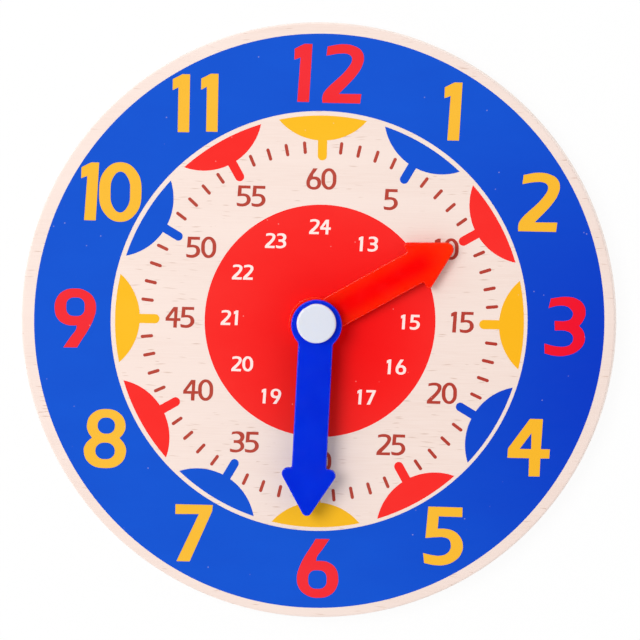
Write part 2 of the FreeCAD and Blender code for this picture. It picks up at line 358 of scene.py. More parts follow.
SHEETS = (
    ("rear_face_veneer", "sheet_rear_face", FACE_BEECH, "face_veneer"),
    ("rear_crossband", "sheet_rear_cross", CROSS_BEECH, "crossband_veneer"),
    ("core_ply", "sheet_core", CORE_BEECH, "core_veneer"),
    ("front_crossband", "sheet_front_cross", CROSS_BEECH, "crossband_veneer"),
    ("front_face_veneer", "sheet_front_face", FACE_BEECH, "face_veneer"),
)
for node, name, finish, slot in SHEETS:
    mesh = turned(name, sheet_profile(floor_of(node), top_of(node)))
    shown_object(name, mesh, "board", finish, node)
    print(f"{name:18s} {top_of(node) - floor_of(node):4.2f} mm thick, {len(mesh.polygons)} faces")

# %% [markdown]
# Printing ink
#
# The dial is screen printed. Such ink is a film of some hundredths of a millimetre, slightly glossy,
# that follows the fibres below it and misses a pinhole here and there. Painting the pattern into the
# wood's material would make every edge soft and tie the dial to one board. Real films of ink, cut
# to shape, keep their edges sharp at any size, stand a little proud and catch the light apart from
# the wood. Each ink also carries painted shade: it darkens towards the right, away from the lamp,
# and the red disc darkens towards its middle, in the shade of the hands.
# Numerals lie on the blue and the red as a second film, as they do on the press. A second film lets
# a trace of the blue through, so the numerals of the ring have inks of their own.

# %% The ink finish
INK_FIBRE = (22.0, 0.28, 0.28)
WORN_ROOM = (18.0, 9.0, 9.0)
WORN_SHARE = 0.3
WOOD_BELOW = seen(244, 222, 212)
PINHOLE_ROOM = 3.0
PINHOLE_CORE = 0.02
PINHOLE_SIZE = 0.065
PINHOLE_DEPTH = 0.32
PINHOLE_RARITY = 0.6
INK_SHINE_ROOM = (6.0, 1.2, 1.2)
INK_ROUGHNESS = (0.36, 0.48)
INK_GLOSS = 0.07
INK_RELIEF = 0.006
# Centres of painted shade: the inks darken towards the right, the red disc towards its middle.
RIGHT_SHADE_CENTRE = (80, -14)
DISC_SHADE_CENTRE = (5, -3)


def nearness(tree, place, reach):
    """1 at a place on the dial, falling softly to 0 at this many millimetres from it."""
    here = put(tree, "TexCoord").outputs["Object"]
    there = (place[0] * MM, place[1] * MM, BOARD_TOP * MM)
    away = put(tree, "VectorMath", {0: here, 1: there}, operation="DISTANCE").outputs["Value"]
    return ramp(tree, away, reach * MM, 0.0)


def ink(name, colour, worn, shaded, shade_centre=RIGHT_SHADE_CENTRE, reach=95):
    """Printed ink over wood: uneven in tone and shine, painted shade towards one place, fibres in relief and
    a few pinholes.
    """
    material, tree, shader = start_finish(name)
    fibres = clouds(tree, INK_FIBRE, detail=5.0)
    patches = clouds(tree, WORN_ROOM, 0.0, WORN_SHARE)
    thin = blend_colours(tree, patches, colour, worn)
    # Painted shade: the ink darkens towards its shade centre.
    tone = blend_colours(tree, nearness(tree, shade_centre, reach), thin, shaded)
    room = spread(tree, PINHOLE_ROOM, PINHOLE_ROOM, PINHOLE_ROOM)
    holes = put(tree, "TexVoronoi", {"Vector": room, "Scale": 1.0})
    dot = put(tree, "MapRange", {
        "Value": holes.outputs["Distance"], "From Min": PINHOLE_CORE, "From Max": PINHOLE_SIZE,
        "To Min": PINHOLE_DEPTH, "To Max": 0.0}).outputs["Result"]
    draw = put(tree, "SeparateColor", {"Color": holes.outputs["Color"]}).outputs["Red"]
    missed = put(tree, "Math", {0: draw, 1: PINHOLE_RARITY}, operation="GREATER_THAN").outputs["Value"]
    specks = put(tree, "Math", {0: dot, 1: missed}, operation="MULTIPLY").outputs["Value"]
    tree.links.new(blend_colours(tree, specks, tone, WOOD_BELOW), shader.inputs["Base Color"])
    tree.links.new(clouds(tree, INK_SHINE_ROOM, *INK_ROUGHNESS), shader.inputs["Roughness"])
    tree.links.new(relief(tree, fibres, INK_RELIEF), shader.inputs["Normal"])
    shader.inputs["Specular IOR Level"].default_value = INK_GLOSS
    return material


# The third colour of each ink is its painted shade.
BLUE_INK = ink("ink_blue", seen(14, 79, 201), seen(18, 92, 216), seen(2, 52, 190))
RED_INK = ink("ink_red", seen(242, 40, 36), seen(245, 60, 54), seen(243, 6, 10), DISC_SHADE_CENTRE, 38)
YELLOW_INK = ink("ink_yellow", seen(244, 183, 30), seen(246, 190, 52), seen(244, 175, 20))
RED_ON_BLUE = ink("ink_red_on_blue", seen(236, 40, 48), seen(239, 60, 66), seen(233, 0, 40))
YELLOW_ON_BLUE = ink("ink_yellow_on_blue", seen(242, 182, 50), seen(244, 190, 70), seen(241, 177, 36))
WHITE_INK = ink("ink_white", seen(255, 231, 225), seen(255, 212, 204), seen(255, 224, 218))
BRICK_INK = ink("ink_brick", seen(175, 60, 47), seen(198, 102, 86), seen(172, 50, 40))
print("seven inks mixed")

# %% [markdown]
# Outlines for the print
#
# A film of ink is a flat shape with an edge, which is what a filled 2D curve is. Each outline is a
# list of knots in millimetres. At a corner knot the line turns sharply, and at a smooth knot the
# curve runs through. Where every knot is a corner, straight runs do. A shape inside another one is
# left open, so a ring is two circles and the numeral 4 is an outline with a triangle in it. The mesh
# of a printing screen is never quite square, so even the circles come out slightly askew.

# %% Lay a film of ink on the board
FILM = 0.022
PRINT_SHIFT = (0.2, -0.08)
PRINT_STRETCH = (1.0, 1.003)


def ink_film(name, outlines, finish, level=0, thinned=0.0, shift=PRINT_SHIFT, stretch=PRINT_STRETCH):
    """A film of ink from outlines of (across, up, is smooth), on the wood or on a lower film."""
    curve = bpy.data.curves.new(name, "CURVE")
    curve.dimensions = "2D"
    curve.fill_mode = "BOTH"
    curve.resolution_u = 8
    curve.extrude = FILM / 2 * MM
    curve.offset = -thinned * MM
    for outline in outlines:
        has_curves = any(is_smooth for across, up, is_smooth in outline)
        spline = curve.splines.new("BEZIER" if has_curves else "POLY")
        spline.use_cyclic_u = True
        if not has_curves:
            spline.points.add(len(outline) - 1)
            for point, (across, up, is_smooth) in zip(spline.points, outline):
                point.co = (across * MM, up * MM, 0, 1)
            continue
        spline.bezier_points.add(len(outline) - 1)
        for point, (across, up, is_smooth) in zip(spline.bezier_points, outline):
            point.co = (across * MM, up * MM, 0)
            point.handle_left_type = point.handle_right_type = "AUTO" if is_smooth else "VECTOR"
    curve.materials.append(finish)
    piece = bpy.data.objects.new(name, curve)
    bpy.context.scene.collection.objects.link(piece)
    height = BOARD_TOP + FILM * (level + 0.5)
    piece.location = (shift[0] * MM, shift[1] * MM, height * MM)
    piece.scale = (*stretch, 1)
    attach(piece, "board")
    print(f"{name:22s} {len(outlines):3d} outlines, {FILM * (level + 1):.3f} mm above the wood")
    return piece


def arc(centre, radius, start, end, steps):
    """Corner knots along an arc, its angles in degrees from +X."""
    knots = []
    for step in range(steps + 1):
        angle = math.radians(start + (end - start) * step / steps)
        knots.append((centre[0] + radius * math.cos(angle), centre[1] + radius * math.sin(angle), False))
    return knots


def clockwise(outline, degrees):
    """The outline turned clockwise about the middle of the dial."""
    turn = math.radians(degrees)
    return [(across * math.cos(turn) + up * math.sin(turn),
             up * math.cos(turn) - across * math.sin(turn), is_smooth)
            for across, up, is_smooth in outline]


def circle(radius):
    """A full circle round the middle of the dial."""
    return arc((0, 0), radius, 0, 360, 240)[:-1]


def skewed(outline, skew):
    """The outline pushed sideways as it goes up, and up as it goes to the right."""
    return [(across + skew[0] * up, up + skew[1] * across, is_smooth)
            for across, up, is_smooth in outline]


# %% Print the blue ring and the red disc
RING_OUTER = 67.3
RING_INNER = 49.21
RING_SHIFT = (0.22, -0.13)
DISC_RADIUS = 27.23
DISC_SHIFT = (0.5, -0.07)
WASHER_GAP = 0.6
SCREEN_SKEW = (0.0036, 0.0036)
SCREEN_STRETCH = (0.9985, 1.005)
ring_edges = [skewed(circle(radius), SCREEN_SKEW) for radius in (RING_OUTER, RING_INNER)]
disc_edges = [skewed(circle(radius), SCREEN_SKEW) for radius in (DISC_RADIUS, WASHER_RADIUS + WASHER_GAP)]
ink_film("print_blue_ring", ring_edges, BLUE_INK, shift=RING_SHIFT, stretch=SCREEN_STRETCH)
ink_film("print_red_disc", disc_edges, RED_INK, shift=DISC_SHIFT, stretch=SCREEN_STRETCH)

# %% [markdown]
# The hour marks and the minute lines
#
# Between disc and ring stand twelve hour marks, one every five minutes: a fan that hangs from the
# ring, with a short stem that ends round. They repeat in yellow, blue and red. Between them run the
# minute lines, small bars with round ends. One mark is drawn once, at twelve o'clock, and turned by
# 30 degrees at a time, and so is one bar by 6 degrees. Both sets lie a few tenths of a millimetre
# askew, each in its own way.

# %% Print the hour marks
MARK_ARC_RADIUS = 48.2
MARK_HALF_ANGLE = 12.3
FAN_CENTRE = 56.15
FAN_RADIUS = 13.7
STEM_WIDTH = 2.05
STEM_END = 37.8
MARK_SHIFT = (0.325, -0.23)
MARK_SKEW = (0.0012, 0.0048)


def hour_mark():
    """The mark at twelve: fan and stem in one outline."""
    half = STEM_WIDTH / 2
    corner_x = MARK_ARC_RADIUS * math.sin(math.radians(MARK_HALF_ANGLE))
    corner_y = MARK_ARC_RADIUS * math.cos(math.radians(MARK_HALF_ANGLE))
    fan_edge = math.degrees(math.atan2(corner_y - FAN_CENTRE, corner_x))
    stem_edge = -90 + math.degrees(math.asin(half / FAN_RADIUS))
    fan_middle = (0, FAN_CENTRE)
    return [
        *arc((0, 0), MARK_ARC_RADIUS, 90 - MARK_HALF_ANGLE, 90 + MARK_HALF_ANGLE, 16),
        *arc(fan_middle, FAN_RADIUS, -180 - fan_edge, -180 - stem_edge, 14)[1:],
        *arc((0, STEM_END + half), half, 180, 360, 10),
        *arc(fan_middle, FAN_RADIUS, stem_edge, fan_edge, 14)[:-1],
    ]


MARK_INKS = (("yellow", YELLOW_INK, 0.05), ("blue", BLUE_INK, 0.0), ("red", RED_INK, 0.05))
for first, (colour_name, finish, spread_out) in enumerate(MARK_INKS):
    marks = [skewed(clockwise(hour_mark(), 30 * hour), MARK_SKEW) for hour in range(first, 12, 3)]
    ink_film("print_marks_" + colour_name, marks, finish, thinned=-spread_out, shift=MARK_SHIFT,
             stretch=SCREEN_STRETCH)

# %% Print the minute lines
LINE_START = 39.4
LINE_END = 42.35
LINE_WIDTH = 0.76
LINE_SKEW = (0.0044, 0.0009)


def minute_line():
    """The bar of one minute, at twelve."""
    half = LINE_WIDTH / 2
    return [*arc((0, LINE_END - half), half, 0, 180, 8), *arc((0, LINE_START + half), half, 180, 360, 8)]


bars = [skewed(clockwise(minute_line(), 6 * minute), LINE_SKEW) for minute in range(60) if minute % 5]
ink_film("print_minute_lines", bars, BRICK_INK, shift=MARK_SHIFT, stretch=SCREEN_STRETCH)

# %% [markdown]
# One set of numerals
#
# All numerals on the dial share one plain rounded drawing: wide and heavy on the blue ring, small
# and white on the red disc, light and brick red for the minutes. Blender's own text would bring a
# font that doesn't match. Each numeral is drawn here as listed knots, in a box 14 mm high, the size it
# has on the ring. In the text of an outline, a plain pair is a corner, and a pair with a wave before it
# lies on a curve. The smaller sets are the same outlines, scaled, and thinned by an even amount.

# %% Draw the ten numerals
def pen(text):
    """Knots from text: 'x,y' is a corner and '~x,y' lies on a curve."""
    knots = []
    for word in text.split():
        across, up = word.lstrip("~").split(",")
        knots.append((float(across), float(up), word.startswith("~")))
    return knots


def oval(across, up, half_width, half_height, squareness=1.03):
    """A closed oval of eight smooth knots, squarer where squareness is above 1."""
    knots = []
    for step in range(8):
        angle = math.pi * step / 4
        push = squareness if step % 2 else 1.0
        knots.append((across + half_width * push * math.cos(angle),
                      up + half_height * push * math.sin(angle), True))
    return knots


def half_turn(outline, width, height):
    """The outline turned upside down in its box."""
    return [(width - across, height - up, is_smooth) for across, up, is_smooth in outline]


SIX = [
    pen("4.3,13.75 7.55,13.8 ~5.9,11.3 ~4.55,9.3 4.5,8.55 ~5.4,8.6 ~7.05,8.4 ~8.95,7.15 ~9.75,4.85"
        " ~9.35,2.35 ~7.9,0.65 ~5.1,-0.1 ~2.4,0.45 ~0.55,2.1 ~0,4.65 ~0.55,7 ~1.6,9.3 ~3.2,11.9"),
    oval(4.85, 4.2, 2.2, 2.2, 1.08),
]
NUMERALS = {
    "0": [oval(5.05, 7.03, 5.0, 7.0), oval(5.05, 7.03, 2.3, 4.8)],
    "1": [pen("4.25,13.7 3.65,0.1 0.9,0.1 1.5,10.5 0.05,9.95 0.1,12.5 ~1.3,13.15 2.4,13.7")],
    "2": [pen("1.1,13.2 0.85,11.05 ~4.05,11.6 ~5.75,11.55 ~6.6,11.1 ~6.9,10.25 ~6.25,8.7 ~0.4,2.4"
              " ~0.05,1.3 0.05,0 8.95,0 9.2,2.2 3.9,2.15 ~8.25,7 ~9.3,8.9 ~9.65,10.7 ~9.1,12.3"
              " ~7.4,13.4 ~4.7,13.8")],
    "3": [pen("1.35,13.4 0.85,11.15 ~2.8,11.7 ~5.15,11.6 ~6.2,10.8 ~6.6,9.95 ~6.1,8.7 ~5.35,8.3"
              " 2.3,8.15 2.4,5.95 ~5.15,5.85 ~6.4,5.1 ~6.75,4.05 ~6.2,2.8 ~5.15,2.25 ~2.4,2.25 0,2.8"
              " 0.1,0.5 ~2.4,0 ~5.35,0.15 ~7.9,1.3 ~9.35,3.2 ~9.45,4.7 ~8.95,6.15 8.05,7.1"
              " ~8.95,8.25 ~9.55,10.15 ~8.95,12.25 ~7.45,13.4 ~5.35,13.85")],
    "4": [pen("5.1,13.5 8.15,13.5 7.8,6.45 9.9,6.45 9.8,4.3 7.7,4.25 7.6,0 5,0 5.05,4.25"
              " -0.05,4.25 0.05,6.45"),
          pen("5.5,10.15 5.5,6.4 2.8,6.4")],
    "5": [pen("1,13.75 9.05,13.7 9.05,11.45 3.5,11.5 3.3,8.6 ~5.1,8.6 ~7,8.15 ~8.45,7 ~9.3,4.9"
              " ~8.9,2.8 ~7.4,1.1 ~5.3,0.15 ~2.8,0 0.25,0.45 -0.05,2.8 ~2.15,2.35 ~4.05,2.25"
              " ~5.55,2.8 ~6.35,3.85 ~6.45,4.9 ~5.95,6.15 ~4.7,6.6 ~3.2,6.6 0.45,6.35")],
    "6": SIX,
    "7": [pen("0.05,13.5 8.85,13.5 8.75,12.1 3.6,0.1 0.5,0.1 5.6,11.3 0.05,11.2")],
    "8": [pen("1.95,7.1 ~1.05,8.4 ~0.7,10.05 ~1.9,12.75 ~5.3,13.9 ~8.6,12.8 ~9.85,10.15 ~9.45,8.4"
              " 8.45,7.15 ~9.65,5.7 ~10.05,3.85 ~8.7,1.1 ~5,0 ~1.4,1.1 ~0.05,3.85 ~0.55,5.7"),
          oval(5.3, 10, 2.05, 1.9), oval(5.1, 4.05, 2.3, 1.95)],
    "9": [half_turn(outline, 9.8, 13.75) for outline in SIX],
}
UPRIGHT_ONE = [pen("4.1,13.7 4.1,0.1 1.4,0.1 1.4,10.6 0.05,9.9 0.05,12.5 ~1.3,13.15 2.3,13.7")]
print("numerals drawn:", " ".join(NUMERALS))

# %% [markdown]
# The hour numerals
#
# They stand upright round the ring, and twelve, three, six and nine are red, the others yellow. The
# printer set them by eye, some of them half a millimetre off an even circle, so each numeral has its
# own place: the lower left corner of its box, measured from the middle of the dial.

# %% Print the hour numerals
HOURS_RED = (
    ("1", -6.85, 51.2), ("2", -0.1, 51.2), ("3", 53.2, -6.9), ("6", -4.1, -65), ("9", -62.4, -7.5),
)
HOURS_YELLOW = (
    ("1", 28.6, 42.9), ("2", 46.5, 22.1), ("4", 45.05, -35.35), ("5", 25.6, -56.75), ("7", -33.1, -57.35),
    ("8", -55, -35.75), ("1", -56.65, 22.35), ("0", -52.35, 22.2),
)
ELEVEN = (("1", -35.4, 43.5), ("1", -28.7, 43.75))


def placed(outlines, across, up, size=1.0, width=1.0):
    """Outlines scaled and moved to their place on the dial."""
    return [[(across + x * size * width, up + y * size, is_smooth) for x, y, is_smooth in outline]
            for outline in outlines]


def set_hours(places):
    """All outlines of these hour numerals."""
    return [outline for digit, x, y in places for outline in placed(NUMERALS[digit], x, y)]


eleven = [outline for digit, x, y in ELEVEN for outline in placed(UPRIGHT_ONE, x, y)]
ink_film("print_hours_red", set_hours(HOURS_RED), RED_ON_BLUE, level=1)
ink_film("print_hours_yellow", set_hours(HOURS_YELLOW) + eleven, YELLOW_ON_BLUE, level=1)

# %% [markdown]
# The small numerals
#
# The minutes run from 5 to 60 inside the bars, and the afternoon hours from 13 to 24 on the disc. In
# both sets every numeral takes the same room, with the narrow 1 near the middle of its room, so a
# number is placed by the left end of its first numeral. First and second numerals go in two films,
# because a fill takes an outline that starts inside another one for a hole. Two minutes and two hours
# lie below the hands at rest. They are printed all the same, and show when the hands turn.

# %% Print the minutes and the afternoon hours
def set_numbers(numbers, column, size, pitch, one_shift):
    """The first or the second numerals of numbers, each given by its inked left lower corner."""
    outlines = []
    for text, left, bottom in numbers:
        if column >= len(text):
            continue
        start = left - (one_shift if text.startswith("1") else 0)
        shift = one_shift if text[column] == "1" else 0
        outlines += placed(NUMERALS[text[column]], start + column * pitch + shift, bottom, size)
    return outlines


MINUTES = (
    ("60", -3.55, 30.75), ("5", 14.75, 26.3), ("10", 26.9, 14.95), ("15", 31.05, -2.1), ("20", 25.7, -18.9),
    ("25", 14.05, -31.25), ("30", -3.6, -35.6), ("35", -20.5, -31.4), ("40", -31.75, -19.45),
    ("45", -36.2, -2.4), ("50", -31.6, 14.1), ("55", -19.9, 26.4),
)
AFTERNOON = (
    ("24", -2.65, 20.35), ("13", 9.1, 16.55), ("14", 16.35, 9.2), ("15", 19.35, -1.55), ("16", 16.2, -12.15),
    ("17", 9.4, -19.4), ("18", -2, -23.6), ("19", -13.15, -19.7), ("20", -20.45, -12.25),
    ("21", -23.15, -1.45), ("22", -20.65, 9.3), ("23", -13, 16.85),
)
MINUTE_SIZE = 0.370
MINUTE_PITCH = 3.5
MINUTE_ONE_SHIFT = 1.4
MINUTE_THIN = 0.068
AFTERNOON_SIZE = 0.256
AFTERNOON_PITCH = 2.6
AFTERNOON_ONE_SHIFT = 0.5
AFTERNOON_THIN = 0.01

for column, part in enumerate(("first", "second")):
    minutes = set_numbers(MINUTES, column, MINUTE_SIZE, MINUTE_PITCH, MINUTE_ONE_SHIFT)
    afternoon = set_numbers(AFTERNOON, column, AFTERNOON_SIZE, AFTERNOON_PITCH, AFTERNOON_ONE_SHIFT)
    ink_film("print_minutes_" + part, minutes, BRICK_INK, thinned=MINUTE_THIN)
    ink_film("print_afternoon_" + part, afternoon, WHITE_INK, level=1, thinned=AFTERNOON_THIN)

# %% [markdown]
# Moulded plastic
#
# Hands and rivet are moulded in plain polystyrene. Light goes a little way into such plastic before
# it comes back, which softens the shade at the edges, so the shader gets some subsurface light. The
# skin is never quite flat: it has slow waves where the plastic shrank, and its shine changes slightly
# from place to place. Both come from soft random patches. Red plastic lets the most light through.
# Its thin long edges are painted lighter than the middle, and the arrow head, which always lies over
# pale wood and never over the red disc, is painted more orange towards its tip: painted light, for
# the light that comes through the plastic. Two shares say where that light is painted: one counts
# across the hand, one along it.

# %% The moulded finish
HOUR_READING = 59.8
MINUTE_READING = 182.0
# Where painted light through the red plastic lies: towards the edges and towards the tip.
EDGE_GLOW = (0.5, 4.0)
EDGE_GLOW_SHARE = 0.5
HEAD_GLOW_END = 37.0
TONE_ROOM = (9.0, 9.0, 9.0)
SHINE_ROOM = (3.0, 3.0, 3.0)
SHINE_VARIES = 0.04
WAVE_ROOM = (6.0, 6.0, 6.0)
WAVE_DEPTH = 0.02
SKIN_ROOM = (0.4, 0.4, 0.4)
SKIN_DEPTH = 0.0006
LIGHT_INSIDE = 0.6


def along_hand(tree, reading):
    """The distances in millimetres along the hand and across it, for a hand at this reading."""
    place = put(tree, "TexCoord").outputs["Object"]
    turned_back = put(tree, "VectorRotate", {"Vector": place, "Angle": math.radians(reading)})
    in_mm = put(tree, "VectorMath", {0: turned_back.outputs["Vector"], 3: 1 / MM}, operation="SCALE")
    ways = put(tree, "SeparateXYZ", {"Vector": in_mm.outputs["Vector"]}).outputs
    across = put(tree, "Math", {0: ways["X"]}, operation="ABSOLUTE").outputs["Value"]
    return ways["Y"], across


def moulded(name, colour, deeper, depth_of_light, roughness, gloss=0.25, through=None):
    """Plain moulded plastic: slow waves, uneven shine, a little depth of light, painted light through if
    given.
    """
    material, tree, shader = start_finish(name)
    tone = blend_colours(tree, clouds(tree, TONE_ROOM, detail=1.0), colour, deeper)
    if through is not None:
        # Painted light: light through the red plastic, laid on the edges and towards the tip of the head.
        along, across = along_hand(tree, HOUR_READING)
        tone = blend_colours(tree, ramp(tree, across, *EDGE_GLOW, EDGE_GLOW_SHARE), tone, through)
        tone = blend_colours(tree, ramp(tree, along, DISC_RADIUS, HEAD_GLOW_END), tone, through)
    tree.links.new(tone, shader.inputs["Base Color"])
    shine = clouds(tree, SHINE_ROOM, roughness - SHINE_VARIES, roughness + SHINE_VARIES)
    tree.links.new(shine, shader.inputs["Roughness"])
    waves = relief(tree, clouds(tree, WAVE_ROOM, detail=1.0), WAVE_DEPTH)
    skin = relief(tree, clouds(tree, SKIN_ROOM, detail=2.0), SKIN_DEPTH, waves)
    tree.links.new(skin, shader.inputs["Normal"])
    shader.inputs["Subsurface Weight"].default_value = LIGHT_INSIDE
    shader.inputs["Subsurface Scale"].default_value = 1.0
    shader.inputs["Subsurface Radius"].default_value = [share * MM for share in depth_of_light]
    shader.inputs["Specular IOR Level"].default_value = gloss
    return material


# The last colour is painted light through the red plastic.
RED_PLASTIC = moulded(
    "plastic_red", seen(253, 0, 0), seen(251, 0, 0), (1.8, 0.4, 0.1), 0.16, through=seen(255, 46, 2))
BLUE_PLASTIC = moulded(
    "plastic_blue", seen(0, 47, 219), seen(0, 40, 210), (0.1, 0.3, 1.0), 0.16)
WHITE_PLASTIC = moulded(
    "plastic_white", seen(221, 224, 234), seen(217, 220, 231), (0.5, 0.45, 0.4), 0.25, gloss=0.5)
WASHER_PLASTIC = moulded(
    "plastic_washer", seen(224, 222, 214), seen(214, 211, 203), (0.5, 0.5, 0.4), 0.6)
print("four plastics mixed")

# %% [markdown]
# The arrow hands
#
# Each hand is one moulding: a round hub, a straight shaft and an arrow head, with small fillets in
# the inner corners and a rounded upper edge. A bevel modifier on a plain outline would guess at the
# tight corners. The outline is a chain of arcs joined by straight runs, though, and when such an
# outline shrinks, every arc keeps its middle and only changes its radius. So the rounded edge is a
# few copies of the outline, each a little smaller and a little higher, joined ring to ring. Neither
# hole is quite in the middle of its hub. So each hub has a place of its own along the hand, and each
# hand lies a little aside of its hole as well.

# %% Work out the arcs of a hand
BLADE_WIDTH = 8.1
HUB_FILLET = 1.0
NECK_FILLET = 0.5


def hand_arcs(hub, hub_at, aside, barbs, point, head_width, barb_round, point_round):
    """The arcs of a hand that points to twelve: (middle, radius, start, end, steps, bulges out).

    hub, head_width: sizes across; hub_at, barbs, point: places along the hand, from the pivot.
    """
    half = BLADE_WIDTH / 2
    hub_radius = hub / 2
    fillet_x = half + HUB_FILLET
    fillet_rise = math.sqrt((hub_radius + HUB_FILLET) ** 2 - fillet_x ** 2)
    lean = math.degrees(math.atan2(fillet_rise, fillet_x))
    rise = point - barbs
    slope = math.hypot(rise, head_width / 2)
    out_x = rise / slope
    out_y = head_width / 2 / slope
    facing = math.degrees(math.atan2(out_y, out_x))
    reach = out_y * point
    barb_y = barbs + barb_round
    barb_x = (reach - barb_round - out_y * barb_y) / out_x
    tip_y = (reach - point_round) / out_y
    right = [
        ((fillet_x, hub_at + fillet_rise), HUB_FILLET, 180 + lean, 180, 8, False),
        ((half + NECK_FILLET, barbs - NECK_FILLET), NECK_FILLET, 180, 90, 6, False),
        ((barb_x, barb_y), barb_round, -90, facing, 10, True),
    ]
    left = [((-x, y), radius, 180 - end, 180 - start, steps, bulges)
            for (x, y), radius, start, end, steps, bulges in reversed(right)]
    tip = ((0, tip_y), point_round, facing, 180 - facing, 12, True)
    hub_arc = ((0, hub_at), hub_radius, 180 - lean, 360 + lean, 56, True)
    return [((x + aside, y), *rest) for (x, y), *rest in [*right, tip, *left, hub_arc]]


def hand_ring(arcs, inset):
    """The outline of a hand, everywhere smaller by the inset."""
    ring = []
    for middle, radius, start, end, steps, bulges in arcs:
        ring += arc(middle, radius - inset if bulges else radius + inset, start, end, steps)
    return [(across, up) for across, up, is_smooth in ring]


# %% Mould the two hands
EDGE_ROUND = 0.3
FOOT_ROUND = 0.12
EDGE_STEPS = 6
HUB_STEPS = 72
HAND_BORE_RADIUS = 2.58
BOSS_HEIGHT = 0.5


def edge_levels(low, high):
    """(inset, height) of the copies of the outline, from the foot to the top of the edge."""
    levels = [(FOOT_ROUND, low), (0.0, low + FOOT_ROUND)]
    for step in range(EDGE_STEPS + 1):
        angle = math.radians(90 * step / EDGE_STEPS)
        levels.append((EDGE_ROUND * (1 - math.cos(angle)), high - EDGE_ROUND * (1 - math.sin(angle))))
    return levels


def mould_hand(name, node, arcs, degrees, finish):
    """One hand, turned clockwise to its reading, in place of its node."""
    foot = floor_of(node)
    top = top_of(node)
    under = foot + BOSS_HEIGHT
    points = []
    faces = []

    def add_ring(ring, height):
        """Adds a closed ring of points and gives the places of its points."""
        first = len(points)
        turn = math.radians(degrees)
        for across, up in ring:
            x = across * math.cos(turn) + up * math.sin(turn)
            y = up * math.cos(turn) - across * math.sin(turn)
            points.append(Vector((x * MM, y * MM, height * MM)))
        return list(range(first, len(points)))

    def join(lower, upper):
        """Faces between two rings of the same number of points."""
        count = len(lower)
        for place in range(count):
            after = (place + 1) % count
            faces.append((lower[place], lower[after], upper[after], upper[place]))

    def cover(outer, inner):
        """Flat faces between an outline and a round hole in it."""
        places = [*outer, *inner]
        loops = [[points[place] for place in outer], [points[place] for place in inner]]
        faces.extend(tuple(places[corner] for corner in face) for face in tessellate_polygon(loops))

    def hub_ring(radius, height):
        """A circle about the pivot."""
        knots = arc((0, 0), radius, 0, 360, HUB_STEPS)[:-1]
        return add_ring([(across, up) for across, up, is_smooth in knots], height)

    rings = [add_ring(hand_ring(arcs, inset), height) for inset, height in edge_levels(under, top)]
    for lower, upper in zip(rings, rings[1:]):
        join(lower, upper)
    bore_top = hub_ring(HAND_BORE_RADIUS, top)
    bore_foot = hub_ring(HAND_BORE_RADIUS, foot)
    boss_foot = hub_ring(WASHER_RADIUS, foot)
    boss_top = hub_ring(WASHER_RADIUS, under)
    cover(rings[-1], bore_top)
    join(bore_top, bore_foot)
    join(bore_foot, boss_foot)
    join(boss_foot, boss_top)
    cover(rings[0], boss_top)

    mesh = bpy.data.meshes.new(name)
    mesh.from_pydata(points, [], faces)
    weld(mesh)
    smooth(mesh, 50.0)
    piece = shown_object(name, mesh, node, finish, node)
    level = piece.modifiers.new("even_shading", "WEIGHTED_NORMAL")
    level.keep_sharp = True
    print(f"{name}: {len(mesh.polygons)} faces, {top - foot:.2f} mm high")
    return piece


hour_arcs = hand_arcs(
    hub=12.2, hub_at=-0.7, aside=0.03,
    barbs=26.5, point=38.3, head_width=13.1, barb_round=0.7, point_round=1.7)
minute_arcs = hand_arcs(
    hub=11.9, hub_at=0.71, aside=-0.09,
    barbs=34.5, point=46.8, head_width=14.9, barb_round=1.45, point_round=1.2)
mould_hand("hand_red", "hour_hand", hour_arcs, HOUR_READING, RED_PLASTIC)
mould_hand("hand_blue", "minute_hand", minute_arcs, MINUTE_READING, BLUE_PLASTIC)

# %% [markdown]
# The white rivet
#
# The two halves of the rivet snap together through the board. Only the front head shows: a flat
# disc with a rounded edge and, near eleven o'clock, the small flat where the moulding was cut from
# its sprue. Behind it stands a pin with a barb that latches in the barrel. Head and pin are turned in
# one, as the sheets are, and then the few points beyond that flat are pushed back to it. The head
# sits 0.3 mm off its pin, so its points are moved aside last. Barrel and washers are already right
# as solids, so they only get a finish.

# %% Make the rivet head
CAP_ROUND = 0.5
CAP_FOOT = 0.15
CROWN_EDGE = 0.25
FLAT_CUT = 0.14
FLAT_AT = 121.0
PIN_RADIUS = 1.5
PIN_CHAMFER = 0.45
BARB_STEP = 0.25
BARB_LOW = 5.9
BARB_HIGH = 7.0
HEAD_SHIFT = (0.15, -0.27)


def cap_profile():
    """The front half of the rivet: pin, barb and head."""
    pin_end = floor_of("rivet_cap")
    head_foot = top_of("rivet_barrel")
    high = top_of("rivet_cap")
    pin = [(0.0, pin_end), (PIN_RADIUS - PIN_CHAMFER, pin_end), (PIN_RADIUS, pin_end + PIN_CHAMFER),
           (PIN_RADIUS, BARB_LOW), (PIN_RADIUS + BARB_STEP, BARB_HIGH), (PIN_RADIUS, BARB_HIGH)]
    foot = [(PIN_RADIUS, head_foot), (CAP_RADIUS - CAP_FOOT, head_foot),
            (CAP_RADIUS, head_foot + CAP_FOOT)]
    edge = arc((CAP_RADIUS - CAP_ROUND, high - CAP_ROUND), CAP_ROUND, 0, 90, 8)
    crown = [(radius, height) for radius, height, is_smooth in edge]
    return [*pin, *foot, *crown, (CAP_RADIUS - CAP_ROUND - CROWN_EDGE, high), (0.0, high)]


def cut_flat(mesh):
    """Pushes the points beyond the sprue cut back to its plane."""
    out = Vector((math.cos(math.radians(FLAT_AT)), math.sin(math.radians(FLAT_AT)), 0))
    limit = (CAP_RADIUS - FLAT_CUT) * MM
    for vertex in mesh.vertices:
        beyond = vertex.co.dot(out) - limit
        if beyond > 0:
            vertex.co -= out * beyond


